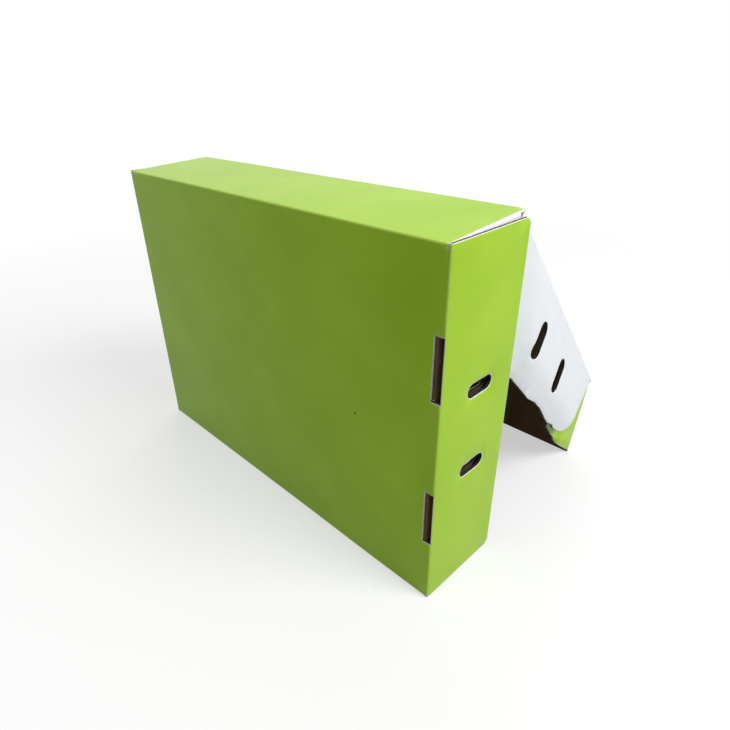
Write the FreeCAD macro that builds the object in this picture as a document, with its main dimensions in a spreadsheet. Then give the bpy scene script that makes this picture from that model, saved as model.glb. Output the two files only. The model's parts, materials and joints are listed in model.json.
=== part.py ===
import FreeCAD, Part
import Sketcher
import os

# Cardboard tray box, folded from one die-cut sheet and stood on its long front wall.
# X runs along the box, Y from the base panel to the open rim, Z up from the front wall.
# The origin is the middle of the front wall's outer face.

# Driving sizes in millimetres, and angles in degrees
SIZES = {
    "box_length": 400,
    "box_width": 290,
    "box_depth": 87,
    "board": 2.5,
    "layer_gap": 0.25,
    "edge_gap": 0.3,
    "fold_radius": 1.2,
    "wall_lift": 2.5,
    "corner_cut": 5,
    "corner_flap_reach": 62,
    "corner_flap_inset": 10,
    "corner_flap_taper": 8,
    "vent_length": 28.6,
    "vent_height": 11.6,
    "vent_from_base": 45,
    "vent_spacing": 69,
    "flap_vent_play": 2,
    "slot_length": 48,
    "slot_spacing": 125,
    "slot_rim": 0.5,
    "tab_play": 2,
    "lid_play": 0.5,
    "crease_gap": 0.15,
    "crease_mitre": 37.5,
    "flap_depth": 80,
    "flap_inset": 5,
    "flap_front_taper": 3,
    "flap_rear_taper": 12,
    "flap_front_radius": 16,
    "flap_rear_radius": 10,
    "tear_width": 26,
    "tear_depth": 4,
    "tear_from_front": 42,
    "tear_spacing": 66,
    "tuck_lean": 14,
    "ear_reach": 76,
    "ear_inset": 4,
    "ear_tip_inset": 46,
    "ear_tip_width": 11,
    "ear_shoulder_reach": 38,
    "ear_shoulder_inset": 18,
    "ear_foot_inset": 2,
    "ear_tip_radius": 6,
    "ear_shoulder_radius": 30,
}

# Faces of the tray: the base panel's outer face, the rim, and the layers of each end wall from outside in
BASE_FACE = "-sizes.box_depth / 2"
BASE_INSIDE = f"({BASE_FACE} + sizes.board)"
RIM = "sizes.box_depth / 2"
END_FACE = "sizes.box_length / 2"
OUTER_LAYER = f"({END_FACE} - sizes.board)"
WALL_END = f"({OUTER_LAYER} - sizes.layer_gap)"
FLAP_LAYER = f"({WALL_END} - sizes.board)"
INNER_LAYER = f"({FLAP_LAYER} - sizes.layer_gap - sizes.board)"

# The back wall has lifted a little about its crease with the base panel
LIFT_COS = "cos(sizes.wall_lift * 1 deg)"
LIFT_SIN = "sin(sizes.wall_lift * 1 deg)"
HINGE_Y = f"({BASE_FACE} + sizes.box_depth * {LIFT_COS})"
HINGE_Z = f"(sizes.box_width + sizes.box_depth * {LIFT_SIN})"

# The lid closes inside the front wall and between the end walls, and the tuck flap stops at the base panel
LID_LENGTH = "(sizes.box_width - sizes.board - sizes.layer_gap)"
LID_HALF = f"({INNER_LAYER} - sizes.lid_play)"
TUCK_DEPTH = "(sizes.box_depth - sizes.board - sizes.layer_gap)"
TUCK_HALF = f"({LID_HALF} - sizes.board - sizes.layer_gap)"
MITRE = "(sizes.crease_gap + sizes.board / tan(sizes.crease_mitre * 1 deg))"

# The lid leans out until the tuck flap's free edge stands on the ground
LID_DROP = f"({HINGE_Z} - {TUCK_DEPTH} * cos(sizes.tuck_lean * 1 deg))"
LID_ANGLE = f"acos({LID_DROP} / {LID_LENGTH})"
TUCK_CREASE_Y = f"({HINGE_Y} + {LID_LENGTH} * sin({LID_ANGLE}))"
TUCK_CREASE_Z = f"({HINGE_Z} - {LID_LENGTH} * cos({LID_ANGLE}))"

MATCH = 0.001


def make_sheet(doc):
    """Put every driving size into a cell of its own name."""
    sheet = doc.addObject("Spreadsheet::Sheet", "sizes")
    for row, (alias, value) in enumerate(SIZES.items(), start=1):
        sheet.set(f"A{row}", str(value))
        sheet.setAlias(f"A{row}", alias)
    doc.recompute()


def number(thing, expression):
    """The present value of an expression, in millimetres."""
    value = thing.evalExpression(expression)
    return getattr(value, "Value", value)


def side_plane(body):
    """The body's own YZ plane."""
    return next(plane for plane in body.Origin.OriginFeatures if plane.Role == "YZ_Plane")


def side_sketch(body, name, start):
    """An empty sketch square to X at the distance start."""
    sketch = body.newObject("Sketcher::SketchObject", name)
    sketch.AttachmentSupport = [(side_plane(body), "")]
    sketch.MapMode = "FlatFace"
    sketch.setExpression("AttachmentOffset.Base.z", start)
    return sketch


def fix_point(sketch, geometry, point, place):
    """Tie a point of the sketch to a pair of expressions."""
    for kind, expression in zip(("DistanceX", "DistanceY"), place):
        here = number(sketch, expression)
        constraint = sketch.addConstraint(Sketcher.Constraint(kind, -1, 1, geometry, point, here))
        sketch.setExpression(f"Constraints[{constraint}]", expression)


def add_polygon(sketch, corners):
    """A closed outline with straight sides."""
    points = [FreeCAD.Vector(number(sketch, y), number(sketch, z), 0) for y, z in corners]
    for here, there in zip(points, points[1:] + points[:1]):
        sketch.addGeometry(Part.LineSegment(here, there), False)
    for index, corner in enumerate(corners):
        following = (index + 1) % len(corners)
        sketch.addConstraint(Sketcher.Constraint("Coincident", index, 2, following, 1))
        fix_point(sketch, index, 1, corner)


def add_stadium(sketch, low, high, width):
    """A hole with round ends centred on low and high."""
    radius = number(sketch, width) / 2
    ends = [FreeCAD.Vector(number(sketch, y), number(sketch, z), 0) for y, z in (low, high)]
    along = (ends[1] - ends[0]).normalize()
    across = FreeCAD.Vector(-along.y, along.x, 0) * radius
    first = sketch.GeometryCount
    for end, side, out in ((ends[0], across, -along), (ends[1], -across, along)):
        arc = Part.Arc(end + side, end + out * radius, end - side)
        sketch.addGeometry(arc, False)
        sketch.addGeometry(Part.LineSegment(end - side, end - side + (ends[0] + ends[1] - end * 2)), False)
    for step in range(4):
        here = first + step
        following = first + (step + 1) % 4
        sketch.addConstraint(Sketcher.Constraint("Tangent", here, 2, following, 1))
    for arc, place in ((first, low), (first + 2, high)):
        fix_point(sketch, arc, 3, place)
        constraint = sketch.addConstraint(Sketcher.Constraint("Radius", arc, radius))
        sketch.setExpression(f"Constraints[{constraint}]", f"{width} / 2")


def pad(body, sketch, thickness):
    """Thicken a sketch towards +X."""
    feature = body.newObject("PartDesign::Pad", f"{sketch.Name}_pad")
    feature.Profile = sketch
    feature.setExpression("Length", thickness)
    sketch.Visibility = False
    body.Document.recompute()
    return feature


def cut(body, sketch, length):
    """Cut a sketch out towards +X, and make sure that it took something away."""
    before = body.Shape.Volume
    feature = body.newObject("PartDesign::Pocket", f"{sketch.Name}_cut")
    feature.Profile = sketch
    feature.Reversed = True
    feature.setExpression("Length", length)
    sketch.Visibility = False
    body.Document.recompute()
    if not body.Shape.Volume < before - MATCH:
        raise RuntimeError(f"{feature.Name} cuts nothing")
    return feature


def board_layer(body, name, corners, start, thickness="sizes.board"):
    """One thickness of board with the given outline."""
    sketch = side_sketch(body, name, start)
    add_polygon(sketch, corners)
    return pad(body, sketch, thickness)


def mirror(body, name, features):
    """Repeat features on the other side of the YZ plane."""
    mirrored = body.newObject("PartDesign::Mirrored", name)
    mirrored.Originals = features
    mirrored.MirrorPlane = (side_plane(body), [""])
    body.Tip = mirrored
    body.Document.recompute()


def round_edges(body, name, radius, places):
    """Round the edges that lie along the places, each a few coordinates that an edge keeps."""
    base = body.Tip
    names = []
    for index, edge in enumerate(base.Shape.Edges, start=1):
        ends = [vertex.Point for vertex in edge.Vertexes]
        for place in places:
            misses = [abs(getattr(end, axis) - value) for end in ends for axis, value in place.items()]
            if max(misses) < MATCH:
                names.append(f"Edge{index}")
    fillet = body.newObject("PartDesign::Fillet", name)
    fillet.Base = (base, names)
    fillet.setExpression("Radius", radius)
    body.Document.recompute()


def lifted(along, inward):
    """A place on the back wall: along it from the base crease, and inward from its outer face."""
    y = f"{BASE_FACE} + ({along}) * {LIFT_COS} + ({inward}) * {LIFT_SIN}"
    z = f"sizes.box_width + ({along}) * {LIFT_SIN} - ({inward}) * {LIFT_COS}"
    return y, z


def shell_layers(body):
    """The base panel, the front wall that the box stands on, the back wall and the outer end walls."""
    base = [
        (BASE_FACE, "0"),
        (BASE_INSIDE, "0"),
        (BASE_INSIDE, "sizes.box_width"),
        (BASE_FACE, "sizes.box_width"),
    ]
    board_layer(body, "base_panel", base, f"-{END_FACE}", "sizes.box_length")
    front = [(BASE_FACE, "0"), (RIM, "0"), (RIM, "sizes.board"), (BASE_FACE, "sizes.board")]
    board_layer(body, "front_wall", front, f"-{WALL_END}", f"2 * {WALL_END}")
    back = [
        lifted("0", "0"),
        lifted("sizes.box_depth - sizes.crease_gap", "0"),
        lifted(f"sizes.box_depth - {MITRE}", "sizes.board"),
        lifted("0", "sizes.board"),
    ]
    board_layer(body, "back_wall", back, f"-{WALL_END}", f"2 * {WALL_END}")
    end = [
        (BASE_FACE, "0"),
        (f"{RIM} - sizes.corner_cut", "0"),
        (RIM, "sizes.corner_cut"),
        (RIM, "sizes.box_width - sizes.corner_cut"),
        (f"{RIM} - sizes.corner_cut", "sizes.box_width"),
        (BASE_FACE, "sizes.box_width"),
    ]
    end_wall = board_layer(body, "end_wall", end, OUTER_LAYER)
    ridge_inside = f"{RIM} - sizes.board"
    ridge = [
        (ridge_inside, "sizes.corner_cut"),
        (RIM, "sizes.corner_cut"),
        (RIM, "sizes.box_width - sizes.corner_cut"),
        (ridge_inside, "sizes.box_width - sizes.corner_cut"),
    ]
    ridge_layer = board_layer(body, "ridge", ridge, INNER_LAYER, f"{OUTER_LAYER} - {INNER_LAYER}")
    mirror(body, "end_walls", [end_wall, ridge_layer])


def round_creases(body):
    """Round the front and end creases and the rolled rims. The lifted wall's crease stays sharp."""
    half = number(body, END_FACE)
    base_face = number(body, BASE_FACE)
    rim = number(body, RIM)
    places = [{"y": base_face, "z": 0}]
    for side in (-half, half):
        places.append({"x": side, "y": base_face})
        places.append({"x": side, "y": rim})
    round_edges(body, "creases", "sizes.fold_radius", places)


def corner_flaps(body):
    """The flaps of the front and back walls, held between the two layers of an end wall."""
    near = "sizes.board + sizes.layer_gap"
    far = "sizes.box_depth - sizes.corner_flap_inset"
    taper = "sizes.corner_flap_taper"
    reach = "sizes.corner_flap_reach"
    back = [
        lifted(near, "0"),
        lifted(far, "0"),
        lifted(f"{far} - {taper}", reach),
        lifted(f"{near} + {taper}", reach),
    ]
    front = [
        (f"{BASE_FACE} + {near}", "0"),
        (f"{BASE_FACE} + {far}", "0"),
        (f"{BASE_FACE} + {far} - {taper}", reach),
        (f"{BASE_FACE} + {near} + {taper}", reach),
    ]
    outlines = {"back_flap": back, "front_flap": front}
    return [board_layer(body, name, corners, FLAP_LAYER) for name, corners in outlines.items()]


def inner_end_wall(body):
    """The rolled-over layer of an end wall."""
    low = "(sizes.board + sizes.edge_gap)"
    foot = f"{BASE_INSIDE} + sizes.layer_gap"
    cut_start = f"{RIM} - sizes.corner_cut + {low}"
    wall = [
        (foot, low),
        (cut_start, low),
        (RIM, "sizes.corner_cut"),
        (RIM, "sizes.box_width - sizes.corner_cut"),
        (cut_start, f"sizes.box_width - {low}"),
        (foot, f"sizes.box_width - {low}"),
    ]
    return board_layer(body, "inner_wall", wall, INNER_LAYER)


def lock_tabs(body):
    """The two tabs of the right end's inner wall, locked in slots of the base panel."""
    slot_half = "sizes.slot_length / 2"
    root = f"{BASE_INSIDE} + sizes.layer_gap + sizes.board"
    for name, side in (("upper", "+"), ("lower", "-")):
        middle = f"(sizes.box_width / 2 {side} sizes.slot_spacing / 2)"
        slot = [
            (BASE_FACE, f"{middle} - {slot_half}"),
            (BASE_INSIDE, f"{middle} - {slot_half}"),
            (BASE_INSIDE, f"{middle} + {slot_half}"),
            (BASE_FACE, f"{middle} + {slot_half}"),
        ]
        sketch = side_sketch(body, f"{name}_slot", f"{INNER_LAYER} - sizes.layer_gap")
        add_polygon(sketch, slot)
        cut(body, sketch, f"{END_FACE} - sizes.slot_rim - {INNER_LAYER} + sizes.layer_gap")
        bottom = f"{middle} - {slot_half} + sizes.tab_play"
        top = f"{middle} + {slot_half} - sizes.edge_gap"
        tab = [(BASE_FACE, bottom), (root, bottom), (root, top), (BASE_FACE, top)]
        board_layer(body, f"{name}_tab", tab, INNER_LAYER)


def vent_holes(body):
    """Two round-ended holes through both layers of an end wall."""
    sketch = side_sketch(body, "vents", f"{INNER_LAYER} - sizes.board")
    middle = f"{BASE_FACE} + sizes.vent_from_base"
    reach = "(sizes.vent_length - sizes.vent_height) / 2"
    for side in ("+", "-"):
        height = f"sizes.box_width / 2 {side} sizes.vent_spacing / 2"
        low = (f"{middle} - {reach}", height)
        high = (f"{middle} + {reach}", height)
        add_stadium(sketch, low, high, "sizes.vent_height")
    return cut(body, sketch, f"{END_FACE} - {INNER_LAYER} + 2 * sizes.board")


def make_tray(doc):
    """The folded tray: base panel, four walls, corner flaps and rolled-over end walls in one sheet."""
    body = doc.addObject("PartDesign::Body", "tray")
    shell_layers(body)
    round_creases(body)
    mirror(body, "other_end", [inner_end_wall(body), *corner_flaps(body), vent_holes(body)])
    lock_tabs(body)
    return body


def place_fold(body, y, z, turn):
    """Set a body that is modelled flat, from its crease, at its fold."""
    turn_about_x = FreeCAD.Rotation(FreeCAD.Vector(1, 0, 0), -1)
    body.Placement = FreeCAD.Placement(FreeCAD.Vector(0, 0, 0), turn_about_x)
    body.setExpression(".Placement.Base.y", y)
    body.setExpression(".Placement.Base.z", z)
    body.setExpression(".Placement.Rotation.Angle", turn)


def tear_notches(body):
    """Two shallow bites out of the torn free edge of the right dust flap."""
    for name, place in (("front_tear", "0"), ("rear_tear", "sizes.tear_spacing")):
        sketch = side_sketch(body, name, f"{LID_HALF} - 2 * sizes.board")
        middle = f"{LID_LENGTH} - sizes.tear_from_front - {place}"
        corners = [
            (f"{middle} - sizes.tear_width / 2", "-sizes.flap_depth"),
            (middle, "sizes.tear_depth - sizes.flap_depth"),
            (f"{middle} + sizes.tear_width / 3", "-sizes.flap_depth"),
        ]
        add_polygon(sketch, corners)
        cut(body, sketch, "3 * sizes.board")


def make_lid(doc):
    """The lid panel with its two dust flaps, modelled flat from the hinge crease, outer face up."""
    body = doc.addObject("PartDesign::Body", "lid")
    panel = [
        ("sizes.crease_gap", "0"),
        (f"{LID_LENGTH} - sizes.crease_gap", "0"),
        (f"{LID_LENGTH} - {MITRE}", "-sizes.board"),
        (MITRE, "-sizes.board"),
    ]
    board_layer(body, "lid_panel", panel, f"-{LID_HALF}", f"2 * {LID_HALF}")
    front = f"{LID_LENGTH} - sizes.crease_gap"
    front_corner = f"{front} - sizes.flap_depth * tan(sizes.flap_front_taper * 1 deg)"
    rear_corner = "sizes.flap_inset + sizes.flap_depth * tan(sizes.flap_rear_taper * 1 deg)"
    flap = [
        ("sizes.flap_inset", "0"),
        (front, "0"),
        (front_corner, "-sizes.flap_depth"),
        (rear_corner, "-sizes.flap_depth"),
    ]
    dust_flap = board_layer(body, "dust_flap", flap, f"{LID_HALF} - sizes.board")
    vents = side_sketch(body, "flap_vents", f"{LID_HALF} - 2 * sizes.board")
    middle = "sizes.vent_from_base - sizes.box_depth"
    reach = "(sizes.vent_length - sizes.vent_height) / 2"
    for side in ("+", "-"):
        along = f"sizes.box_width / 2 {side} sizes.vent_spacing / 2"
        width = "(sizes.vent_height + sizes.flap_vent_play)"
        add_stadium(vents, (along, f"{middle} - {reach}"), (along, f"{middle} + {reach}"), width)
    mirror(body, "both_flaps", [dust_flap, cut(body, vents, "3 * sizes.board")])
    depth = number(body, "-sizes.flap_depth")
    front_corners = [{"y": number(body, front_corner), "z": depth}]
    rear_corners = [{"y": number(body, rear_corner), "z": depth}]
    round_edges(body, "front_corners", "sizes.flap_front_radius", front_corners)
    round_edges(body, "rear_corners", "sizes.flap_rear_radius", rear_corners)
    tear_notches(body)
    place_fold(body, HINGE_Y, HINGE_Z, f"{LID_ANGLE} - 90 deg")
    return body


def make_tuck_flap(doc):
    """The tuck flap, modelled flat from its crease with the lid, outer face up."""
    body = doc.addObject("PartDesign::Body", "tuck_flap")
    corners = [
        ("sizes.crease_gap", "0"),
        (TUCK_DEPTH, "0"),
        (TUCK_DEPTH, "-sizes.board"),
        (MITRE, "-sizes.board"),
    ]
    board_layer(body, "tuck_panel", corners, f"-{TUCK_HALF}", f"2 * {TUCK_HALF}")
    place_fold(body, TUCK_CREASE_Y, TUCK_CREASE_Z, "-90 deg - sizes.tuck_lean * 1 deg")
    return body


def make_ear(doc, name, start):
    """A locking ear, folded square to the tuck flap at its end."""
    body = doc.addObject("PartDesign::Body", name)
    root = "-(sizes.board + sizes.crease_gap)"
    tip = f"{TUCK_DEPTH} - sizes.ear_tip_inset"
    shoulder = f"{TUCK_DEPTH} - sizes.ear_shoulder_inset"
    corners = [
        ("sizes.ear_inset", root),
        (f"{tip} - sizes.ear_tip_width", "-sizes.ear_reach"),
        (tip, "-sizes.ear_reach"),
        (shoulder, "-sizes.ear_shoulder_reach"),
        (f"{TUCK_DEPTH} - sizes.ear_foot_inset", root),
    ]
    board_layer(body, f"{name}_panel", corners, start)
    reach = number(body, "-sizes.ear_reach")
    tips = [{"y": number(body, place), "z": reach} for place in (tip, f"{tip} - sizes.ear_tip_width")]
    shoulders = [{"y": number(body, shoulder), "z": number(body, "-sizes.ear_shoulder_reach")}]
    round_edges(body, f"{name}_tip", "sizes.ear_tip_radius", tips)
    round_edges(body, f"{name}_shoulder", "sizes.ear_shoulder_radius", shoulders)
    place_fold(body, TUCK_CREASE_Y, TUCK_CREASE_Z, "-90 deg - sizes.tuck_lean * 1 deg")
    return body


def check(doc, parts):
    """Stop if an object failed or a sub-part has no sound solid."""
    for thing in doc.Objects:
        if "Invalid" in thing.State or "Error" in thing.State:
            raise RuntimeError(f"{thing.Name} did not compute")
    for part in parts:
        if part.Shape.isNull() or not part.Shape.isValid() or len(part.Shape.Solids) != 1:
            raise RuntimeError(f"{part.Label} is not one sound solid")


def main():
    doc = FreeCAD.newDocument("tray_box")
    make_sheet(doc)
    parts = [
        make_tray(doc),
        make_lid(doc),
        make_tuck_flap(doc),
        make_ear(doc, "tuck_ear_right", f"{TUCK_HALF} - sizes.board"),
        make_ear(doc, "tuck_ear_left", f"-{TUCK_HALF}"),
    ]
    doc.recompute()
    check(doc, parts)
    os.makedirs("parts", exist_ok=True)
    for part in parts:
        part.Shape.exportStep(f"parts/{part.Label}.step")
        box = part.Shape.BoundBox
        print(f"{part.Label}: {part.Shape.Volume:.0f} mm3, {box}")


main()
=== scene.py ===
import json
import math
from bisect import bisect_right

import bmesh
import bpy
from mathutils import Matrix, Vector, noise


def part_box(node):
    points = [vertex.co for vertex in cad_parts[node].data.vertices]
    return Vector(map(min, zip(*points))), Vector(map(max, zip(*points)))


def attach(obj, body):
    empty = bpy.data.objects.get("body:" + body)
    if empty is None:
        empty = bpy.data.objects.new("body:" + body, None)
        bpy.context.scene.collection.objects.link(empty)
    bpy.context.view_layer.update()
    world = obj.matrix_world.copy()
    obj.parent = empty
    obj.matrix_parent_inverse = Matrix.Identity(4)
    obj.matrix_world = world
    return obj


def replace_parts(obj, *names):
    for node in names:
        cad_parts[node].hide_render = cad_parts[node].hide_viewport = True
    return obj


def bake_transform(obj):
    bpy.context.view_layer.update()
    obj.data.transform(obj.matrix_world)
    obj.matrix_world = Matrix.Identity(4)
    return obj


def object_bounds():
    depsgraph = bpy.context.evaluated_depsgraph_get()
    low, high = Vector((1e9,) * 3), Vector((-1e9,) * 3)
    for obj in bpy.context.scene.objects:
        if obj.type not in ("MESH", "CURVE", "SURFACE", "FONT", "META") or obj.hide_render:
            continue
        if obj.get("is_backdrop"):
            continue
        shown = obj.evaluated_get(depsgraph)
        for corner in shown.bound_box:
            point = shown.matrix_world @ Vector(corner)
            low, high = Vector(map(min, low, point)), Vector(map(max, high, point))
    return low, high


# Cardboard tray box, folded from one die-cut sheet of corrugated board.
# Every panel is drawn flat on the sheet, where a runs across the panels and b from one panel to the next,
# and is then folded up.

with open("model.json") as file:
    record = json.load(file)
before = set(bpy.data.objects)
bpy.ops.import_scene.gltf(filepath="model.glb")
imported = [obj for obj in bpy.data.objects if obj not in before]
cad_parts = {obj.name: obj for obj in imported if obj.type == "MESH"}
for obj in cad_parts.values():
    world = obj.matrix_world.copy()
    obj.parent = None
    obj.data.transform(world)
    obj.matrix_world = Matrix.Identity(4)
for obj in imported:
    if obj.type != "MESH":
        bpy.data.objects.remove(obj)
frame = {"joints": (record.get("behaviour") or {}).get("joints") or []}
cad_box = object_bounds()
joints = {joint["name"]: joint for joint in frame["joints"]}

SEED = 7
noise.seed_set(SEED)

MM = 0.001

# The board and its layers
BOARD = 2.5 * MM
LINER = 0.5 * MM
MEDIUM = 0.3 * MM
FLUTE_PITCH = 6.4 * MM
FLUTE_RECESS = 1.6 * MM
INNER_LINER = 0.3 * MM
OPEN_FLUTE = 0.5 * MM
MEDIUM_BACK = 0.1 * MM
EDGE_ROUND = 0.4 * MM
EDGE_SHOULDER = 0.3
EDGE_STEP = 0.8 * MM
PAPER_ROWS = 3
OUTSIDE, INSIDE = 0, 1
SHARP = math.radians(32)
GRID = 16 * MM
WOBBLE = 0.25 * MM
WOBBLE_SIZE = 90 * MM
INK_BLEED = 3 * MM

# The share of the print that is left on each row of a cut edge, from the outside in
EDGE_INK = [0.56, 0.3, 0.05] + [0] * 9

# How finely shapes are made
ARC_TURN = math.radians(9)
TOUCH = 0.1 * MM
PLANE_TOUCH = 1e-7
NEARLY = 0.999

# The folded box, partly measured on the solids. END is half its length.
tray_low, tray_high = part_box("tray")
END = tray_high.x
DEPTH = tray_high.y - tray_low.y
WIDTH = 290 * MM
GAP = 0.25 * MM
WALL_END = END - BOARD - GAP
INNER_FACE = END - 3 * BOARD - 2 * GAP
LID_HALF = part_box("lid")[1].x
TUCK_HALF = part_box("tuck_flap")[1].x
CORNER_CUT = 5 * MM

# Creases and rolled rims
CREASE_RADIUS = 1.8 * MM
ROLL_RADIUS = 2.3 * MM
CREASE_STRIP = 4 * MM
BEND_REACH = 2.6 * MM
ARC_STEPS = 5

# Corner flaps, vents, slots and tabs
CORNER_REACH = 62 * MM
CORNER_INSET = 10 * MM
CORNER_TAPER = 8 * MM
BARE_BAND = 3 * MM
VENT_LENGTH = 28.6 * MM
VENT_WIDTH = 11.6 * MM
VENT_DEPTH = 45 * MM
VENT_SPACING = 69 * MM
FLAP_VENT_PLAY = 3.5 * MM
SLOT_LENGTH = 48 * MM
SLOT_SPACING = 125 * MM
SLOT_START = INNER_FACE - GAP
TAB_PLAY = 2 * MM
EDGE_GAP = 0.3 * MM
CHIP = 1.4 * MM

# Dust flaps
FLAP_DEPTH = 80 * MM
FLAP_INSET = 5 * MM
FLAP_FRONT_INSET = 9 * MM
FLAP_FRONT_TAPER = math.radians(3)
FLAP_REAR_TAPER = math.radians(12)
FLAP_FRONT_RADIUS = 16 * MM
FLAP_REAR_RADIUS = 10 * MM
TEAR_STEP = 1.5 * MM
TEAR_GRAIN = 6 * MM
TEAR_FINE = 3
TEAR_SEEDS = (3, 9)
TEAR_RAGGED = 0.9 * MM
FLARE = math.tan(math.radians(9))
FLARE_BEND = 56 * MM
FLARE_SOFT = 8 * MM
FLARE_BACK = math.tan(math.radians(7))
FLARE_START = 2 * MM
FLARE_FULL = 38 * MM

# The right flap's torn edge, in millimetres along the flap and out from its crease
TORN_EDGE = [(108, 80), (125, 80.5), (146, 80.5), (164, 77), (180, 76), (194, 77), (210, 78), (224, 75)]
TORN_EDGE += [(232, 76), (244, 74), (254, 71), (261, 65), (264, 59), (268, 45), (273, 20)]

# Locking ears
EAR_REACH = 76 * MM
EAR_INSET = 4 * MM
EAR_TIP_INSET = 46 * MM
EAR_TIP_WIDTH = 11 * MM
EAR_SHOULDER_REACH = 38 * MM
EAR_SHOULDER_INSET = 18 * MM
EAR_FOOT_INSET = 2 * MM
EAR_TIP_RADIUS = 6 * MM
EAR_SHOULDER_RADIUS = 30 * MM
CRUMPLE_START, CRUMPLE_SLOPE = 74 * MM, 0.36
CRUMPLE_WIDTH = 6 * MM
CRUMPLE_DEPTH = 0.8 * MM
CRUMPLE_RIDGE = 1.2 * MM
CURL_FROM = 34 * MM
CURL_TO = 46 * MM
CURL_DEPTH = 2 * MM

# Colours, as linear light
INK_DEEP = (0.335, 0.570, 0.015, 1)
INK_LIGHT = (0.400, 0.650, 0.028, 1)
INK_PALE = (0.45, 0.70, 0.12, 1)
# Paler print along the creases: partly cracked print, partly a painted highlight on the crease
INK_CRACKED_AND_HIGHLIT = (0.60, 0.80, 0.20, 1)
INK_SPECK = (0.05, 0.09, 0.01, 1)
PAPER_COOL = (0.78, 0.81, 0.85, 1)
PAPER_WARM = (0.82, 0.84, 0.86, 1)
KRAFT_DARK = (0.19, 0.12, 0.06, 1)
KRAFT_LIGHT = (0.26, 0.17, 0.09, 1)
KRAFT_FIBRE = (0.36, 0.25, 0.15, 1)
# Painted shade: the near black that the cut edges round the vents are darkened to
KRAFT_PAINTED_SHADE = (0.05, 0.04, 0.03, 1)

# Surfaces. Each pattern's waves are counted over a metre.
MOTTLE_WAVES = 14
KRAFT_WAVES = 35
PAPER_WAVES = 60
PEEL_WAVES = 260
BLEED_WAVES = 500
CRACK_WAVES = 700
GRAIN_WAVES = 900
FIBRE_WAVES = (1500, 260, 1500)
SOFT_RANGE = (0.3, 0.7)
GRAIN_RANGE = (0.35, 0.75)
CRACK_RANGE = (0.2, 0.6)
FIBRE_RANGE = (0.45, 0.75)
INK_RANGE = (0.42, 0.58)
GRAIN_SHARE = 0.12
BLEED_SHARE = 0.2
FIBRE_SHARE = 0.5
FOLD_FADE = 0.6
PATTERN_ROUGH = 0.7
FILM_ROUGH = 0.3
PAPER_ROUGH = 0.5
KRAFT_ROUGH = 0.82
FILM_SHINE = 0.12
KRAFT_SHINE = 0.2
WASHBOARD = 0.005 * MM
KRAFT_WASHBOARD = 1.5 * WASHBOARD
ORANGE_PEEL = 0.012 * MM
FIBRE_HEIGHT = 0.08 * MM
FIBRE_STRENGTH = 0.6

# A speck in the print of the base panel: its place on the sheet, and its size
SPECK = (0.1209, 0.1424, 0)
SPECK_SIZE = 1.4 * MM

# Light. FLOOR_WHITE is how far out the floor starts to turn pure white, and from where it is.
FLOOR_BOUNCE = 0.3
FLOOR_SEEN = 0.45
FLOOR_GLOW = 0.55
FLOOR_WHITE = (0.5, 1.2)
FLOOR_REACH = 8
WORLD_LIGHT = 0.3

# Each lamp's name, place, what it faces, size and power
LAMPS = [
    ("key", (1.6, 0.5, 1.6), (0, 0.1, 0.1), (1.2, 1.2), 42),
    ("sky", (-1.2, 1.2, 2.4), (0, 0, 0.2), (1.6, 1.6), 18),
    ("fill", (-0.8, -2.2, 1.6), (0, 0, 0.1), (1.6, 1.6), 9),
]

# Camera, in metres and in pixels of the picture. SENSOR is in millimetres.
PICTURE = 730
SENSOR = 36
CLIP_START = 10 * MM
FOCAL_PIXELS = 551.34
CENTRE_X, CENTRE_Y = 342.05, 371.08
CAMERA_PLACE = (0.37634, -0.29354, 0.37809)
CAMERA_VIEW = (-0.64023, 0.59555, -0.48521)
CAMERA_RIGHT = (0.69116, 0.72225, -0.02548)

ACROSS = Vector((1, 0, 0))


class Panel:
    """A flat place on the folded box: where it starts, which way it runs, and its outer side."""

    def __init__(self, start, end):
        self.start = Vector(start)
        self.along = (Vector(end) - self.start).normalized()
        self.outward = ACROSS.cross(self.along)
        self.length = (Vector(end) - self.start).length

    def place(self, x, depth, b):
        """The point x across the box, b along the panel and depth below its outer face."""
        return self.start + ACROSS * x + self.along * b - self.outward * depth


hinge = Vector(joints["lid_hinge"]["pos_m"])
tuck_crease = Vector(joints["tuck_hinge"]["pos_m"])
front_edge = Vector((0, tray_low.y, 0))
back_edge = Vector((0, tray_low.y, WIDTH))
ear_axis = Vector(joints["ear_right_hinge"]["axis"])

front = Panel((0, tray_high.y, 0), front_edge)
base = Panel(front_edge, back_edge)
back = Panel(back_edge, hinge)
lid = Panel(hinge, tuck_crease)
tuck_length = tuck_crease.z / -ear_axis.z
tuck = Panel(tuck_crease, tuck_crease + ear_axis * tuck_length)

# Where the lid and the tuck flap start on the sheet
lid_start = WIDTH + DEPTH
tuck_start = lid_start + lid.length


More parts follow.
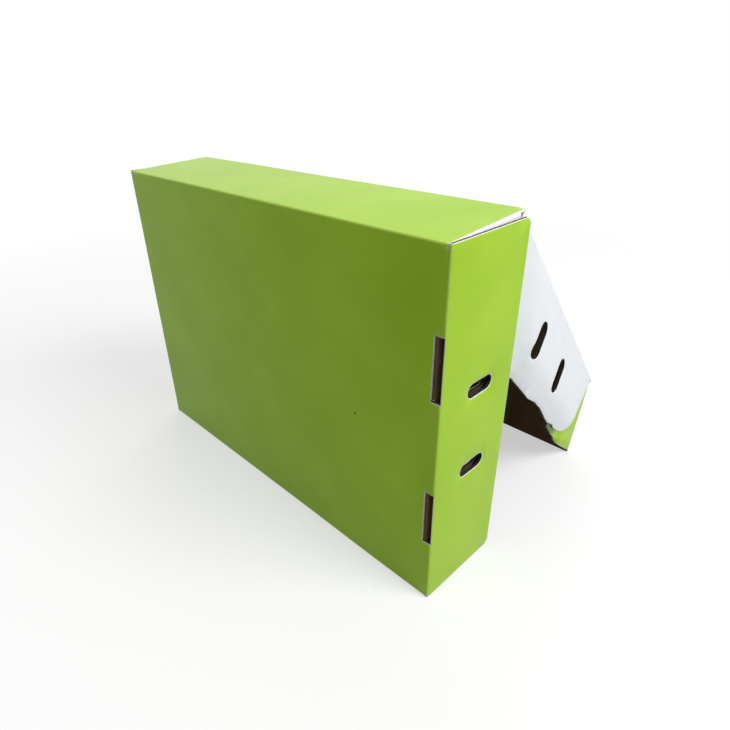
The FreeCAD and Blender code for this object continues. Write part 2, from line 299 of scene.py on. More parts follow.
class Ribbon:
    """A folded section of the board, followed along its outer face with the board on its left."""

    def __init__(self, corners):
        self.marks = []
        self.middles = [0]
        self.starts = []
        points = [Vector(corner[:2]) for corner in corners]
        ways = [(there - here).normalized() for here, there in zip(points, points[1:])]
        sides = [Vector((-way.y, way.x)) for way in ways]
        self._mark(0, points[0], points[0] + sides[0] * BOARD, 0)
        self.starts.append((0, 0))
        for index in range(1, len(ways)):
            self._corner(points, ways, sides, index, corners[index][2])
        run = (points[-1] - points[-2]).length - self.starts[-1][1]
        self._mark(self.starts[-1][0] + run, points[-1], points[-1] + sides[-1] * BOARD, 0)
        self.length = self.marks[-1][0]

    def _mark(self, distance, outer, inner, fold):
        """Note both faces of the board at a distance along the ribbon."""
        self.marks.append((distance, outer, inner, fold))

    def _corner(self, points, ways, sides, index, radius):
        """Go along one straight and round the corner at its end."""
        corner = points[index]
        turn = ways[index - 1].angle(ways[index])
        tangent = radius * math.tan(turn / 2)
        setback = BOARD * math.tan(turn / 2)
        both = sides[index - 1] + sides[index]
        inner = corner + both * (BOARD / (1 + sides[index - 1].dot(sides[index])))
        start, used = self.starts[-1]
        run = (corner - points[index - 1]).length
        self._mark(start + run - used - setback, corner - ways[index - 1] * setback, inner, 0)
        arc_start = start + run - used - tangent
        centre = corner + both * (radius / (1 + sides[index - 1].dot(sides[index])))
        spoke = -sides[index - 1] * radius
        for step in range(ARC_STEPS + 1):
            angle = turn * step / ARC_STEPS
            outer = centre + Matrix.Rotation(angle, 2) @ spoke
            fold = math.sin(math.pi * step / ARC_STEPS)
            self._mark(arc_start + radius * angle, outer, inner, fold)
        end = arc_start + radius * turn
        self.middles.append((arc_start + end) / 2)
        self.starts.append((end, tangent))
        self._mark(end + setback - tangent, corner + ways[index] * setback, inner, 0)

    def at(self, segment, travelled):
        """The distance along the ribbon to a place on one of its straights, measured from the corner."""
        start, used = self.starts[segment]
        return start + travelled - used

    def _between(self, a):
        """The marks before and after a distance, and how far it lies between them."""
        index = bisect_right([mark[0] for mark in self.marks], a) - 1
        index = max(0, min(index, len(self.marks) - 2))
        here, there = self.marks[index], self.marks[index + 1]
        return here, there, (a - here[0]) / (there[0] - here[0])

    def point(self, a, w):
        """The place in the section at distance a and depth w in the board."""
        here, there, share = self._between(a)
        outer = here[1].lerp(there[1], share)
        inner = here[2].lerp(there[2], share)
        return outer.lerp(inner, w / BOARD)

    def fold(self, a):
        """How sharply the board is folded there, from 0 to 1."""
        here, there, share = self._between(a)
        return here[3] + (there[3] - here[3]) * share

    def cuts(self):
        """Every distance where the section bends."""
        return [mark[0] for mark in self.marks[1:-1]]


def rounded(corners):
    """An outline from corners of (a, b, radius), with an arc at each corner that has a radius."""
    outline = []
    count = len(corners)
    for index, (a, b, radius) in enumerate(corners):
        corner = Vector((a, b))
        if not radius:
            outline.append((a, b))
            continue
        before = (Vector(corners[index - 1][:2]) - corner).normalized()
        after = (Vector(corners[(index + 1) % count][:2]) - corner).normalized()
        half = before.angle(after) / 2
        tangent = radius / math.tan(half)
        centre = corner + (before + after).normalized() * (radius / math.sin(half))
        first = corner + before * tangent - centre
        turn = math.pi - 2 * half
        if first.cross(corner + after * tangent - centre) < 0:
            turn = -turn
        steps = max(2, math.ceil(abs(turn) / ARC_TURN))
        for step in range(steps + 1):
            outline.append(tuple(centre + Matrix.Rotation(turn * step / steps, 2) @ first))
    return outline


def stadium(a, b, length, width):
    """A round-ended hole whose length runs along a."""
    reach = length / 2
    radius = width / 2 * NEARLY
    corners = [(a - reach, b - width / 2), (a + reach, b - width / 2), (a + reach, b + width / 2)]
    corners.append((a - reach, b + width / 2))
    return rounded([(x, y, radius) for x, y in corners])


def spread(low, high, step=GRID):
    """Evenly spaced places between low and high."""
    count = max(1, round((high - low) / step))
    return [low + (high - low) * index / count for index in range(1, count)]


def flat_sheet(outline, holes, a_cuts, b_cuts):
    """A flat mesh of the outline and its holes, cut along folds and a grid, with finely divided edges."""
    mesh = bmesh.new()
    for loop in [outline, *holes]:
        verts = [mesh.verts.new((a, b, 0)) for a, b in loop]
        for here, there in zip(verts, verts[1:] + verts[:1]):
            mesh.edges.new((here, there))
    bmesh.ops.triangle_fill(mesh, use_beauty=True, edges=mesh.edges[:])
    for way, cuts in ((Vector((1, 0, 0)), a_cuts), (Vector((0, 1, 0)), b_cuts)):
        for cut in cuts:
            everything = mesh.verts[:] + mesh.edges[:] + mesh.faces[:]
            place = way * cut
            bmesh.ops.bisect_plane(mesh, geom=everything, dist=PLANE_TOUCH, plane_co=place, plane_no=way)
    for face in mesh.faces:
        face.normal_update()
        if face.normal.z < 0:
            face.normal_flip()
    for edge in [edge for edge in mesh.edges if edge.is_boundary]:
        vert = edge.verts[0]
        for left in range(math.ceil(edge.calc_length() / EDGE_STEP), 1, -1):
            vert = bmesh.utils.edge_split(edge, vert, 1 / left)[1]
    mesh.verts.index_update()
    return mesh


def edge_rows(across, cut):
    """Down an edge of the board: how far each point lies back from the edge, and how deep in the board."""
    low, high = LINER, BOARD - INNER_LINER
    swing = (high - low - MEDIUM) / 2
    middle = (low + high) / 2 + swing * math.cos(math.tau * across / FLUTE_PITCH)
    above, below = middle - MEDIUM / 2, middle + MEDIUM / 2
    first = FLUTE_RECESS * min(1, (above - low) / OPEN_FLUTE) * cut
    second = FLUTE_RECESS * min(1, (high - below) / OPEN_FLUTE) * cut
    back = EDGE_ROUND * cut
    return [
        (back, 0),
        (back * EDGE_SHOULDER, EDGE_ROUND * EDGE_SHOULDER),
        (0, EDGE_ROUND),
        (0, low),
        (first, low),
        (first, above),
        (MEDIUM_BACK * cut, above),
        (MEDIUM_BACK * cut, below),
        (second, below),
        (second, high),
        (0, high),
        (0, BOARD),
    ]


def outward_sides(flat):
    """For each vertex on the edge of a flat mesh, the way out of the sheet."""
    sides = {}
    for edge in flat.edges:
        if not edge.is_boundary:
            continue
        loop = edge.link_loops[0]
        start, end = loop.vert, loop.link_loop_next.vert
        way = (end.co - start.co).normalized()
        for vert in (start, end):
            sides[vert.index] = sides.get(vert.index, Vector((0, 0))) + Vector((way.y, -way.x))
    return {index: side.normalized() for index, side in sides.items()}


def always(*_):
    """Everywhere."""
    return 1


def never(*_):
    """Nowhere."""
    return 0


def board_piece(
    name,
    outline,
    place,
    chart,
    holes=(),
    a_cuts=(),
    b_cuts=(),
    ink=always,
    fold=None,
    cut=always,
    painted_shade=never,
):
    """A piece of folded board: two liners and its edges, with open flutes where it was cut.

    place turns (a, b, depth in the board) into a point. chart gives the place on the sheet, across and
    along the flutes. ink says how much of the outside is printed, fold how sharply it is folded, cut
    where an edge is a cut one and not joined to the next piece, and the last argument where a cut edge is
    darkened with painted shade.
    """
    flat = flat_sheet(outline, holes, a_cuts, b_cuts)
    sides = outward_sides(flat)
    points, sheet, inks, folds, painted_shades = [], [], [], [], []

    def add(a, b, w, inked, dark=0):
        """Note a point of the mesh, and return its index."""
        points.append(place(a, b, w))
        sheet.append((*chart(a, b), w))
        inks.append(inked)
        folds.append(fold(a) if fold else 0)
        painted_shades.append(dark)
        return len(points) - 1

    columns = {}
    outer, inner = {}, {}
    for vert in flat.verts:
        a, b = vert.co.x, vert.co.y
        inked = ink(a, b)
        side = sides.get(vert.index)
        if side is None:
            outer[vert.index] = add(a, b, 0, inked)
            inner[vert.index] = add(a, b, BOARD, 0)
            continue
        column = []
        bared, dark = cut(a, b), painted_shade(a, b)
        for row, (back, w) in enumerate(edge_rows(chart(a, b)[0], bared)):
            printed = inked * (1 - bared + bared * EDGE_INK[row])
            column.append(add(a - side.x * back, b - side.y * back, w, printed, dark))
        columns[vert.index] = column
        outer[vert.index], inner[vert.index] = column[0], column[-1]
    faces, slots = [], []
    for face in flat.faces:
        indices = [vert.index for vert in face.verts]
        faces.append([outer[index] for index in indices])
        faces.append([inner[index] for index in reversed(indices)])
        slots += [OUTSIDE, INSIDE]
    for edge in flat.edges:
        if not edge.is_boundary:
            continue
        loop = edge.link_loops[0]
        start, end = columns[loop.vert.index], columns[loop.link_loop_next.vert.index]
        for row in range(len(start) - 1):
            faces.append([start[row], start[row + 1], end[row + 1], end[row]])
            slots.append(OUTSIDE if row < PAPER_ROWS else INSIDE)
    flat.free()
    return finish_mesh(name, points, faces, slots, {"ink": inks, "fold": folds, "painted_shade": painted_shades}, sheet)


def finish_mesh(name, points, faces, slots, values, sheet):
    """An object from points and faces, with its attributes, smooth shading and board materials."""
    mesh = bpy.data.meshes.new(name)
    mesh.from_pydata([wobble(point) for point in points], [], faces)
    for material in (outside_material, inside_material):
        mesh.materials.append(material)
    mesh.polygons.foreach_set("material_index", slots)
    for key, numbers in values.items():
        mesh.attributes.new(key, "FLOAT", "POINT").data.foreach_set("value", numbers)
    chart = mesh.attributes.new("sheet", "FLOAT_VECTOR", "POINT")
    chart.data.foreach_set("vector", [value for place in sheet for value in place])
    edited = bmesh.new()
    edited.from_mesh(mesh)
    bmesh.ops.recalc_face_normals(edited, faces=edited.faces[:])
    edited.to_mesh(mesh)
    edited.free()
    mesh.shade_smooth()
    mesh.set_sharp_from_angle(angle=SHARP)
    piece = bpy.data.objects.new(name, mesh)
    bpy.context.scene.collection.objects.link(piece)
    return piece


def wobble(point):
    """Pressed board is never quite flat."""
    moved = point + noise.noise_vector(point / WOBBLE_SIZE) * WOBBLE
    moved.z = max(moved.z, 0)
    return moved


def smooth_step(value, low, high):
    """0 below low, 1 above high, and smooth between."""
    share = min(1, max(0, (value - low) / (high - low)))
    return share * share * (3 - 2 * share)


def both_sides(half, total):
    """An outline from the corners of its right half, from bottom to top, and their mirror images."""
    left = [(total - a, b, radius) for a, b, radius in reversed(half)]
    return half + left


# The base panel with both end walls, which roll over their rims. The right one locks in the base with tabs.

def shell_ribbon():
    """The section along the box, from the inner left end wall round to the inner right one."""
    corners = [(-INNER_FACE, 0), (-INNER_FACE, DEPTH, ROLL_RADIUS), (-END, DEPTH, ROLL_RADIUS)]
    corners += [(-END, 0, CREASE_RADIUS), (END, 0, CREASE_RADIUS), (END, DEPTH, ROLL_RADIUS)]
    corners += [(INNER_FACE, DEPTH, ROLL_RADIUS), (INNER_FACE, 0)]
    return Ribbon(corners)


def make_shell():
    """The base panel and the end walls, with vents at both ends, and slots and tabs at the right one."""
    ribbon = shell_ribbon()
    total = ribbon.length
    low = BOARD + EDGE_GAP
    foot = total - BOARD - GAP
    lower = [
        (ribbon.at(3, END + WALL_END), CREASE_STRIP),
        (ribbon.at(3, END + WALL_END), 0),
        (ribbon.at(4, DEPTH - CORNER_CUT), 0),
        (ribbon.middles[5], CORNER_CUT),
        (ribbon.middles[6], CORNER_CUT),
        (ribbon.at(6, CORNER_CUT - low), low),
        (foot, low),
    ]
    upper = [(a, WIDTH - b) for a, b in reversed(lower)]
    left = [(total - a, b) for a, b in reversed(lower + upper)]
    tabs, holes, vents = [], [], []
    for side in (-1, 1):
        middle = WIDTH / 2 + side * SLOT_SPACING / 2
        bottom, top = middle - SLOT_LENGTH / 2, middle + SLOT_LENGTH / 2
        tab_bottom, tab_top = bottom + TAB_PLAY, top - EDGE_GAP
        tabs += [(foot, tab_bottom), (total, tab_bottom), (total, tab_top), (foot, tab_top)]
        start, end = ribbon.at(3, END + SLOT_START), ribbon.middles[4]
        holes.append([(start, bottom), (end, bottom), (end, top), (start, top)])
        middle = WIDTH / 2 + side * VENT_SPACING / 2
        for a in (ribbon.at(4, VENT_DEPTH), ribbon.at(6, DEPTH - VENT_DEPTH)):
            vents.append(stadium(a, middle, VENT_LENGTH, VENT_WIDTH))
    outline = lower + tabs + upper + left
    holes += vents + [[(total - a, b) for a, b in vent] for vent in vents]
    bleed = ribbon.at(6, ROLL_RADIUS)

    def place(a, b, w):
        section = ribbon.point(a, w)
        return base.place(section.x, section.y, b)

    def ink(a, b):
        worn = smooth_step(math.hypot(a - ribbon.middles[4], b), CHIP, 2 * CHIP)
        return worn - worn * smooth_step(abs(a - total / 2) + total / 2, bleed, bleed + INK_BLEED)

    def cut(a, b):
        joined = abs(a - total / 2) < WALL_END - MM and min(b, WIDTH - b) < CREASE_STRIP + MM
        return 0 if joined else 1

    # Painted shade: the cut edges round the end walls' vents are darkened, as if deep in shadow
    def painted_shade(a, b):
        on_end = END + BOARD < abs(a - total / 2) < foot - total / 2 - BOARD
        return 1 if on_end and abs(b - WIDTH / 2) < VENT_SPACING else 0

    piece = board_piece(
        "tray_shell",
        outline,
        place,
        lambda a, b: (a - total / 2, b),
        holes,
        ribbon.cuts() + spread(0, total),
        spread(0, WIDTH),
        ink,
        ribbon.fold,
        cut,
        painted_shade,
    )
    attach(piece, "tray")
    return piece


# The front and back walls with their corner flaps

def make_wall(name, panel, along, rim_strip):
    """A wall whose ends turn into corner flaps.

    along gives the place on the panel from that on the wall. rim_strip leaves room for the lid's crease.
    """
    corners = [(-WALL_END, CORNER_REACH), (-WALL_END, 0, CREASE_RADIUS)]
    corners += [(WALL_END, 0, CREASE_RADIUS), (WALL_END, CORNER_REACH)]
    ribbon = Ribbon(corners)
    total = ribbon.length
    fold = ribbon.middles[2]
    near, far = BOARD + GAP, DEPTH - CORNER_INSET
    half = [
        (fold, CREASE_STRIP, 0),
        (total, near + CORNER_TAPER, 0),
        (total, far - CORNER_TAPER, 0),
        (fold, far, 0),
        (fold, DEPTH - CREASE_STRIP if rim_strip else DEPTH - EDGE_GAP, 0),
    ]
    if rim_strip:
        step = total / 2 + LID_HALF
        half += [(step, DEPTH - EDGE_GAP, 0), (step, DEPTH - CREASE_STRIP, 0)]
    outline = [(a, b) for a, b, _ in both_sides(half, total)]

    def place(a, b, w):
        section = ribbon.point(a, w)
        return panel.place(section.x, section.y, along(b))

    def ink(a, b):
        bare = fold - INK_BLEED / 2 - BARE_BAND * b / DEPTH
        return 1 - smooth_step(abs(a - total / 2) + total / 2, bare, bare + INK_BLEED)

    def cut(a, b):
        joined = b < CREASE_STRIP + MM or (rim_strip and abs(a - total / 2) < LID_HALF and b > far)
        return 0 if joined and abs(a - total / 2) < WALL_END else 1

    start = DEPTH if rim_strip else 0
    bare_cuts = spread(fold - BARE_BAND - INK_BLEED, fold + INK_BLEED, MM)
    piece = board_piece(
        name,
        outline,
        place,
        lambda a, b: (a - total / 2, b - start),
        (),
        ribbon.cuts() + spread(0, total) + bare_cuts + [total - a for a in bare_cuts],
        spread(0, DEPTH, GRID / 2),
        ink,
        ribbon.fold,
        cut,
    )
    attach(piece, "tray")


# Creases between panels, as short strips that bend

def make_crease(name, first, second, corner, half_width, bodies):
    """The board on both sides of a crease that runs across the box.

    With two bodies, the strip is baked in place and follows neither of them.
    """
    ways = [Vector((panel.along.y, -panel.along.z)) for panel in (first, second)]
    middle = Vector((corner.y, -corner.z))
    ends = [middle - ways[0] * CREASE_STRIP, middle + ways[1] * CREASE_STRIP]
    ribbon = Ribbon([ends[0], (*middle, CREASE_RADIUS), ends[1]])
    outline = [(0, -half_width), (ribbon.length, -half_width), (ribbon.length, half_width), (0, half_width)]

    def place(a, b, w):
        section = ribbon.point(a, w)
        return Vector((b, section.x, -section.y))

    def cut(a, b):
        return 1 if abs(b) > half_width - BOARD and 0 < a < ribbon.length else 0

    piece = board_piece(
        name,
        outline,
        place,
        lambda a, b: (b, a),
        (),
        ribbon.cuts(),
        spread(-half_width, half_width),
        always,
        ribbon.fold,
        cut,
    )
    if len(bodies) == 1:
        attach(piece, bodies[0])
    else:
        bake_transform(piece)


# The lid with its dust flaps

def torn_edge(total):
    """The free edge of the right dust flap, ragged along its tears."""
    edge = []
    places = [(total - FLAP_DEPTH + depth * MM, b * MM) for b, depth in TORN_EDGE]
    for here, there in zip(places, places[1:]):
        start, end = Vector(here), Vector(there)
        count = math.ceil((end - start).length / TEAR_STEP)
        for index in range(count):
            place = start.lerp(end, index / count)
            grain = place.y / TEAR_GRAIN
            coarse = noise.noise(Vector((grain, 0, TEAR_SEEDS[0])))
            fine = noise.noise(Vector((grain * TEAR_FINE, 0, TEAR_SEEDS[1])))
            edge.append((place.x - TEAR_RAGGED * abs(coarse + fine / 2), place.y))
    return edge + [places[-1]]


def flared(point, depth):
    """The right dust flap leans outwards beyond the tray's end wall, and bends back near its free edge."""
    free = smooth_step(point.y - tray_high.y, FLARE_START, FLARE_FULL)
    past = max(0, depth - FLARE_BEND + FLARE_SOFT)
    past = past * past / (4 * FLARE_SOFT) if past < 2 * FLARE_SOFT else past - FLARE_SOFT
    lean = FLARE * depth - (FLARE + FLARE_BACK) * past
    return point + ACROSS * (lean * free)


def make_lid():
    """The lid panel with its two dust flaps, of which the right one is torn and leans outwards."""
    corners = [(-LID_HALF, FLAP_DEPTH), (-LID_HALF, 0, CREASE_RADIUS)]
    corners += [(LID_HALF, 0, CREASE_RADIUS), (LID_HALF, FLAP_DEPTH)]
    ribbon = Ribbon(corners)
    total = ribbon.length
    fold = ribbon.middles[2]
    end = lid.length
    side = total / 2 + TUCK_HALF
    rear = FLAP_INSET + FLAP_DEPTH * math.tan(FLAP_REAR_TAPER)
    front_corner = end - FLAP_DEPTH * math.tan(FLAP_FRONT_TAPER)
    rear_corner = [(fold, CREASE_STRIP, 0), (fold, FLAP_INSET, 0), (total, rear, FLAP_REAR_RADIUS)]
    inner_front = [(fold, end - EDGE_GAP, 0), (side, end - EDGE_GAP, 0), (side, end - CREASE_STRIP, 0)]
    right = rear_corner + [(a, b, 0) for a, b in torn_edge(total)]
    right += [(fold, end - FLAP_FRONT_INSET, 0), *inner_front[1:]]
    whole = rear_corner + [(total, front_corner, FLAP_FRONT_RADIUS)] + inner_front
    left = [(total - a, b, radius) for a, b, radius in reversed(whole)]
    outline = rounded(right + left)
    holes = []
    for row in (-1, 1):
        middle = WIDTH / 2 + row * VENT_SPACING / 2
        a = ribbon.at(2, DEPTH - VENT_DEPTH)
        holes.append(stadium(a, middle, VENT_LENGTH + FLAP_VENT_PLAY, VENT_WIDTH + FLAP_VENT_PLAY))
    holes += [[(total - a, b) for a, b in hole] for hole in holes]

    def place(a, b, w):
        section = ribbon.point(a, w)
        point = lid.place(section.x, section.y, b)
        return flared(point, section.y) if a > fold else point

    def ink(a, b):
        return 1 - smooth_step(abs(a - total / 2) + total / 2, fold - INK_BLEED, fold)

    def cut(a, b):
        inside = abs(a - total / 2) < TUCK_HALF
        return 0 if (inside and b > end - CREASE_STRIP - MM) or b < CREASE_STRIP + MM else 1

    # Painted shade: the cut edges round the right dust flap's vents are darkened, as if deep in shadow
    def painted_shade(a, b):
        return 1 if a > fold and abs(b - WIDTH / 2) < VENT_SPACING and a < total - VENT_WIDTH else 0

    piece = board_piece(
        "lid_and_flaps",
        outline,
        place,
        lambda a, b: (a - total / 2, lid_start + b),
        holes,
        ribbon.cuts() + spread(0, total, GRID / 2),
        spread(0, end, GRID / 2),
        ink,
        ribbon.fold,
        cut,
        painted_shade,
    )
    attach(piece, "lid")
    return piece


# The tuck flap and its locking ears

def make_tuck():
    """The tuck flap's panel, which stands on the floor."""
    end = tuck.length
    foot = end - EAR_FOOT_INSET
    side = TUCK_HALF - CREASE_STRIP
    half = [(side, CREASE_STRIP), (side, foot), (TUCK_HALF - EDGE_GAP, foot), (TUCK_HALF - EDGE_GAP, end)]
    outline = half + [(-a, b) for a, b in reversed(half)]

    def cut(a, b):
        return 0 if b < CREASE_STRIP + MM or (abs(a) < side + MM and b < foot - MM) else 1

    piece = board_piece(
        "tuck_panel",
        outline,
        lambda a, b, w: tuck.place(a, w, b),
        lambda a, b: (a, tuck_start + b),
        (),
        spread(-TUCK_HALF, TUCK_HALF),
        spread(0, end),
        always,
        None,
        cut,
    )
    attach(piece, "tuck_flap")
    return piece


def ear_width(reach):
    """Where the ear's two long edges are at a reach from the tuck flap."""
    share = (reach - BOARD) / (EAR_REACH - BOARD)
    top = EAR_INSET + share * (tuck.length - EAR_TIP_INSET - EAR_TIP_WIDTH - EAR_INSET)
    share = (reach - BOARD) / (EAR_SHOULDER_REACH - BOARD)
    bottom = tuck.length - EAR_FOOT_INSET - share * (EAR_SHOULDER_INSET - EAR_FOOT_INSET)
    return top, bottom


def make_ear_crease(name, side):
    """The crease between the tuck flap and an ear. side is 1 at the right and -1 at the left."""
    corners = [(TUCK_HALF - CREASE_STRIP, 0), (TUCK_HALF, 0, CREASE_RADIUS), (TUCK_HALF, CREASE_STRIP)]
    ribbon = Ribbon(corners)
    top, bottom = ear_width(CREASE_STRIP)
    outline = [(0, top), (ribbon.length, top), (ribbon.length, bottom), (0, bottom)]

    def place(a, b, w):
        section = ribbon.point(a, w)
        return tuck.place(side * section.x, section.y, b)

    piece = board_piece(
        name,
        outline,
        place,
        lambda a, b: (side * (TUCK_HALF + a), tuck_start + b),
        (),
        ribbon.cuts(),
        spread(top, bottom),
        always,
        ribbon.fold,
        lambda a, b: 1 if 0 < a < ribbon.length else 0,
    )
    start = tuck.place(side * (TUCK_HALF - BEND_REACH), 0, 0)
    end = tuck.place(side * TUCK_HALF, BEND_REACH, 0)
    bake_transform(piece)
    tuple(start)
    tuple(end)


def make_ear(name, side, body):
    """A locking ear. The right one is crumpled a little and curls inwards."""
    top, bottom = ear_width(CREASE_STRIP)
    tip = tuck.length - EAR_TIP_INSET
    corners = [
        (CREASE_STRIP, top, 0),
        (CREASE_STRIP, bottom, 0),
        (EAR_SHOULDER_REACH, tuck.length - EAR_SHOULDER_INSET, EAR_SHOULDER_RADIUS),
        (EAR_REACH, tip, EAR_TIP_RADIUS),
        (EAR_REACH, tip - EAR_TIP_WIDTH, EAR_TIP_RADIUS),
    ]

    def place(a, b, w):
        below = b - (CRUMPLE_START - CRUMPLE_SLOPE * a)
        bent = CRUMPLE_DEPTH * smooth_step(below, 0, CRUMPLE_WIDTH)
        bent -= CRUMPLE_RIDGE * (1 - smooth_step(abs(below), 0, CRUMPLE_WIDTH / 2))
        bent += CURL_DEPTH * smooth_step(a, CURL_FROM, CURL_TO)
        bent *= smooth_step(a, CREASE_STRIP, 3 * CREASE_STRIP) if side > 0 else 0
        return tuck.place(side * (TUCK_HALF - w - bent), a, b)

    piece = board_piece(
        name,
        rounded(corners),
        place,
        lambda a, b: (side * (TUCK_HALF + a), tuck_start + b),
        (),
        spread(0, EAR_REACH, GRID / 4),
        spread(0, tuck.length, GRID / 4),
        always,
        None,
        lambda a, b: 1 if a > CREASE_STRIP + TOUCH else 0,
    )
    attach(piece, body)
    return piece


# Materials

# The sockets of a node that mixes colours
MIX_SHARE, MIX_FIRST, MIX_SECOND, MIX_RESULT = 0, 6, 7, 2


class Nodes:
    """A material's nodes, made one by one."""

    def __init__(self, name):
        self.material = bpy.data.materials.new(name)
        self.material.use_nodes = True
        self.tree = self.material.node_tree
        self.shader = self.tree.nodes["Principled BSDF"]

    def add(self, kind, inputs=None, **settings):
        """A node of that kind, with its settings, and its inputs as values or as sockets to join to."""
        node = self.tree.nodes.new(kind)
        for key, value in settings.items():
            setattr(node, key, value)
        for key, value in (inputs or {}).items():
            if isinstance(value, bpy.types.NodeSocket):
                self.tree.links.new(value, node.inputs[key])
            else:
                node.inputs[key].default_value = value
        return node

    def attribute(self, name):
        """What the mesh says at a place under that name."""
        return self.add("ShaderNodeAttribute", attribute_name=name)

    def noise(self, place, scale, detail=2, rough=0.5):
        """Smooth noise, from about 0 to 1."""
        inputs = {"Vector": place, "Scale": scale, "Detail": detail, "Roughness": rough}
        return self.add("ShaderNodeTexNoise", inputs).outputs["Fac"]

    def scaled(self, place, scale):
        """The place stretched by a factor for each direction."""
        return self.add("ShaderNodeMapping", {"Vector": place, "Scale": scale}).outputs["Vector"]

    def math(self, operation, first, second):
        """The result of a sum on two values."""
        return self.add("ShaderNodeMath", {0: first, 1: second}, operation=operation).outputs[0]

    def ramp(self, value, low, high, to_low=0.0, to_high=1.0):
        """The value taken from one range to another, and held at its ends."""
        inputs = {"Value": value, "From Min": low, "From Max": high, "To Min": to_low, "To Max": to_high}
        return self.add("ShaderNodeMapRange", inputs).outputs["Result"]

    def mix(self, share, first, second):
        """A colour between the first and the second."""
        inputs = {MIX_SHARE: share, MIX_FIRST: first, MIX_SECOND: second}
        return self.add("ShaderNodeMix", inputs, data_type="RGBA").outputs[MIX_RESULT]

    def bump(self, height, distance, strength=1.0, under=None):
        """The surface raised by the height, on top of the bumps under it."""
        inputs = {"Height": height, "Distance": distance, "Strength": strength}
        if under is not None:
            inputs["Normal"] = under
        return self.add("ShaderNodeBump", inputs).outputs["Normal"]

    def set(self, **inputs):
        """Set or join the shader's inputs, whose names have underscores for spaces."""
        for key, value in inputs.items():
            socket = self.shader.inputs[key.replace("_", " ")]
            if isinstance(value, bpy.types.NodeSocket):
                self.tree.links.new(value, socket)
            else:
                socket.default_value = value


def washboard(nodes, sheet):
    """The flutes under a liner show as very low waves."""
    across = nodes.add("ShaderNodeSeparateXYZ", {0: sheet}).outputs["X"]
    turns = nodes.math("MULTIPLY", across, math.tau / FLUTE_PITCH)
    return nodes.add("ShaderNodeMath", {0: turns}, operation="COSINE").outputs[0]


def outside():
    """White liner, printed lime green where there is ink, under a gloss film."""
    nodes = Nodes("printed_liner")
    sheet = nodes.attribute("sheet").outputs["Vector"]
    mottle = nodes.ramp(nodes.noise(sheet, MOTTLE_WAVES, detail=3), *SOFT_RANGE)
    grain = nodes.ramp(nodes.noise(sheet, GRAIN_WAVES), *GRAIN_RANGE, 0, GRAIN_SHARE)
    lime = nodes.mix(grain, nodes.mix(mottle, INK_DEEP, INK_LIGHT), INK_PALE)
    away = nodes.add("ShaderNodeVectorMath", {0: sheet, 1: SPECK}, operation="DISTANCE").outputs["Value"]
    lime = nodes.mix(nodes.ramp(away, SPECK_SIZE / 2, SPECK_SIZE), INK_SPECK, lime)
    # Along the creases the print turns paler: partly cracked print, partly a painted highlight
    crack_and_highlight_mask = nodes.ramp(nodes.noise(sheet, CRACK_WAVES, 4, PATTERN_ROUGH), *CRACK_RANGE)
    worn = nodes.math("MULTIPLY", nodes.attribute("fold").outputs["Fac"], crack_and_highlight_mask)
    lime = nodes.mix(nodes.math("MULTIPLY", worn, FOLD_FADE), lime, INK_CRACKED_AND_HIGHLIT)
    cloud = nodes.ramp(nodes.noise(sheet, PAPER_WAVES, detail=4), *SOFT_RANGE)
    paper = nodes.mix(cloud, PAPER_COOL, PAPER_WARM)
    bleed = nodes.ramp(nodes.noise(sheet, BLEED_WAVES, detail=3), 0, 1, -BLEED_SHARE, BLEED_SHARE)
    inked = nodes.ramp(nodes.math("ADD", nodes.attribute("ink").outputs["Fac"], bleed), *INK_RANGE)
    waves = nodes.bump(washboard(nodes, sheet), WASHBOARD)
    nodes.set(
        Base_Color=nodes.mix(inked, paper, lime),
        Roughness=nodes.ramp(inked, 0, 1, PAPER_ROUGH, FILM_ROUGH),
        Normal=nodes.bump(nodes.noise(sheet, PEEL_WAVES, detail=3), ORANGE_PEEL, under=waves),
        Specular_IOR_Level=FILM_SHINE,
    )
    return nodes.material


def inside():
    """Brown kraft liner and fluting, with painted shade on the cut edges that the mesh marks."""
    nodes = Nodes("kraft_liner")
    sheet = nodes.attribute("sheet").outputs["Vector"]
    fibres = nodes.noise(nodes.scaled(sheet, FIBRE_WAVES), 1, 4, PATTERN_ROUGH)
    cloud = nodes.ramp(nodes.noise(sheet, KRAFT_WAVES, detail=3), *SOFT_RANGE)
    brown = nodes.mix(cloud, KRAFT_DARK, KRAFT_LIGHT)
    brown = nodes.mix(nodes.ramp(fibres, *FIBRE_RANGE, 0, FIBRE_SHARE), brown, KRAFT_FIBRE)
    waves = nodes.bump(washboard(nodes, sheet), KRAFT_WASHBOARD)
    nodes.set(
        # Painted shade darkens the cut edges that the mesh marks
        Base_Color=nodes.mix(nodes.attribute("painted_shade").outputs["Fac"], brown, KRAFT_PAINTED_SHADE),
        Roughness=KRAFT_ROUGH,
        Normal=nodes.bump(fibres, FIBRE_HEIGHT, FIBRE_STRENGTH, waves),
        Specular_IOR_Level=KRAFT_SHINE,
    )
    return nodes.material


# Stage

def grey(value):
    """A colour as light in red, green and blue."""
    return (value, value, value, 1)


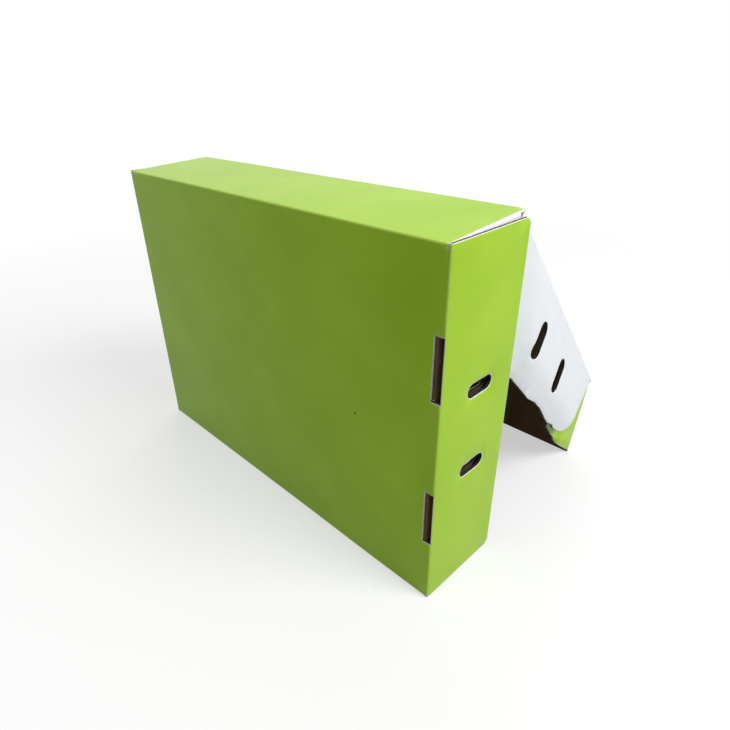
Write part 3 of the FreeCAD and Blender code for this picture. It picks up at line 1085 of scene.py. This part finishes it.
def floor_material():
    """White to the eye, grey to the light that it sends back, and pure white away from the box."""
    nodes = Nodes("floor")
    path = nodes.add("ShaderNodeLightPath")
    seen = nodes.math("MAXIMUM", path.outputs["Is Camera Ray"], path.outputs["Is Glossy Ray"])
    seen = nodes.math("MAXIMUM", seen, path.outputs["Is Transmission Ray"])
    place = nodes.add("ShaderNodeNewGeometry").outputs["Position"]
    distance = nodes.add("ShaderNodeVectorMath", {0: place}, operation="LENGTH").outputs["Value"]
    far = nodes.math("MULTIPLY", seen, nodes.ramp(distance, *FLOOR_WHITE))
    near = nodes.mix(seen, grey(FLOOR_BOUNCE), grey(FLOOR_SEEN))
    colour = nodes.mix(far, near, grey(0))
    glow = nodes.math("MULTIPLY", seen, nodes.ramp(far, 0, 1, FLOOR_GLOW, 1))
    nodes.set(Base_Color=colour, Roughness=1.0, Specular_IOR_Level=0.0)
    nodes.set(Emission_Color=grey(1), Emission_Strength=glow)
    return nodes.material


def make_stage():
    """A wide flat floor."""
    corners = [(x * FLOOR_REACH, y * FLOOR_REACH, 0) for x, y in ((-1, -1), (1, -1), (1, 1), (-1, 1))]
    mesh = bpy.data.meshes.new("floor")
    mesh.from_pydata(corners, [], [(0, 1, 2, 3)])
    mesh.materials.append(floor_material())
    floor = bpy.data.objects.new("floor", mesh)
    bpy.context.scene.collection.objects.link(floor)
    floor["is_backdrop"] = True


def add_lamp(name, place, target, size, power):
    """A soft square lamp that faces the target."""
    lamp = bpy.data.lights.new(name, "AREA")
    lamp.shape = "RECTANGLE"
    lamp.size, lamp.size_y = size
    lamp.energy = power
    holder = bpy.data.objects.new(name, lamp)
    holder.location = place
    holder.rotation_euler = (Vector(target) - Vector(place)).to_track_quat("-Z", "Y").to_euler()
    bpy.context.scene.collection.objects.link(holder)


def make_lights():
    """A white world that lights the box faintly, and the lamps."""
    world = bpy.data.worlds.new("studio")
    world.use_nodes = True
    tree = world.node_tree
    background = tree.nodes["Background"]
    path = tree.nodes.new("ShaderNodeLightPath")
    seen = path.outputs["Is Camera Ray"]
    for ray in ("Is Glossy Ray", "Is Transmission Ray"):
        either = tree.nodes.new("ShaderNodeMath")
        either.operation = "MAXIMUM"
        tree.links.new(seen, either.inputs[0])
        tree.links.new(path.outputs[ray], either.inputs[1])
        seen = either.outputs["Value"]
    strength = tree.nodes.new("ShaderNodeMapRange")
    strength.inputs["To Min"].default_value = WORLD_LIGHT
    strength.inputs["To Max"].default_value = 1
    tree.links.new(seen, strength.inputs["Value"])
    tree.links.new(strength.outputs["Result"], background.inputs["Strength"])
    background.inputs["Color"].default_value = grey(1)
    bpy.context.scene.world = world
    for lamp in LAMPS:
        add_lamp(*lamp)


def make_camera():
    """The photograph's viewpoint, from a fit to the box's corners."""
    camera = bpy.data.cameras.new("camera")
    camera.sensor_width = SENSOR
    camera.lens = FOCAL_PIXELS * SENSOR / PICTURE
    camera.shift_x = (PICTURE / 2 - CENTRE_X) / PICTURE
    camera.shift_y = (CENTRE_Y - PICTURE / 2) / PICTURE
    camera.clip_start = CLIP_START
    view = Vector(CAMERA_VIEW).normalized()
    right = Vector(CAMERA_RIGHT)
    right = (right - view * right.dot(view)).normalized()
    turn = Matrix((right, right.cross(view), -view)).transposed()
    holder = bpy.data.objects.new("camera", camera)
    holder.matrix_world = Matrix.Translation(CAMERA_PLACE) @ turn.to_4x4()
    bpy.context.scene.collection.objects.link(holder)
    bpy.context.scene.camera = holder


outside_material = outside()
inside_material = inside()

shell = make_shell()
make_wall("back_wall", back, lambda b: b, True)
make_wall("front_wall", front, lambda b: DEPTH - b, False)
make_crease("front_crease", front, base, front_edge, WALL_END, ["tray"])
make_crease("back_crease", base, back, back_edge, WALL_END, ["tray"])
make_crease("lid_crease", back, lid, hinge, LID_HALF, ["tray", "lid"])
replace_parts(shell, "tray")
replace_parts(make_lid(), "lid")
make_crease("tuck_crease", lid, tuck, tuck_crease, TUCK_HALF, ["lid", "tuck_flap"])
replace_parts(make_tuck(), "tuck_flap")
for hand, side in (("right", 1), ("left", -1)):
    body = f"tuck_ear_{hand}"
    make_ear_crease(f"ear_crease_{hand}", side)
    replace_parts(make_ear(f"ear_{hand}", side, body), body)

make_stage()
make_lights()
make_camera()
bpy.context.scene.view_settings.view_transform = "Standard"

boxes = {"cad": cad_box, "visual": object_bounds()}
{name: [list(corner) for corner in box] for name, box in boxes.items()}
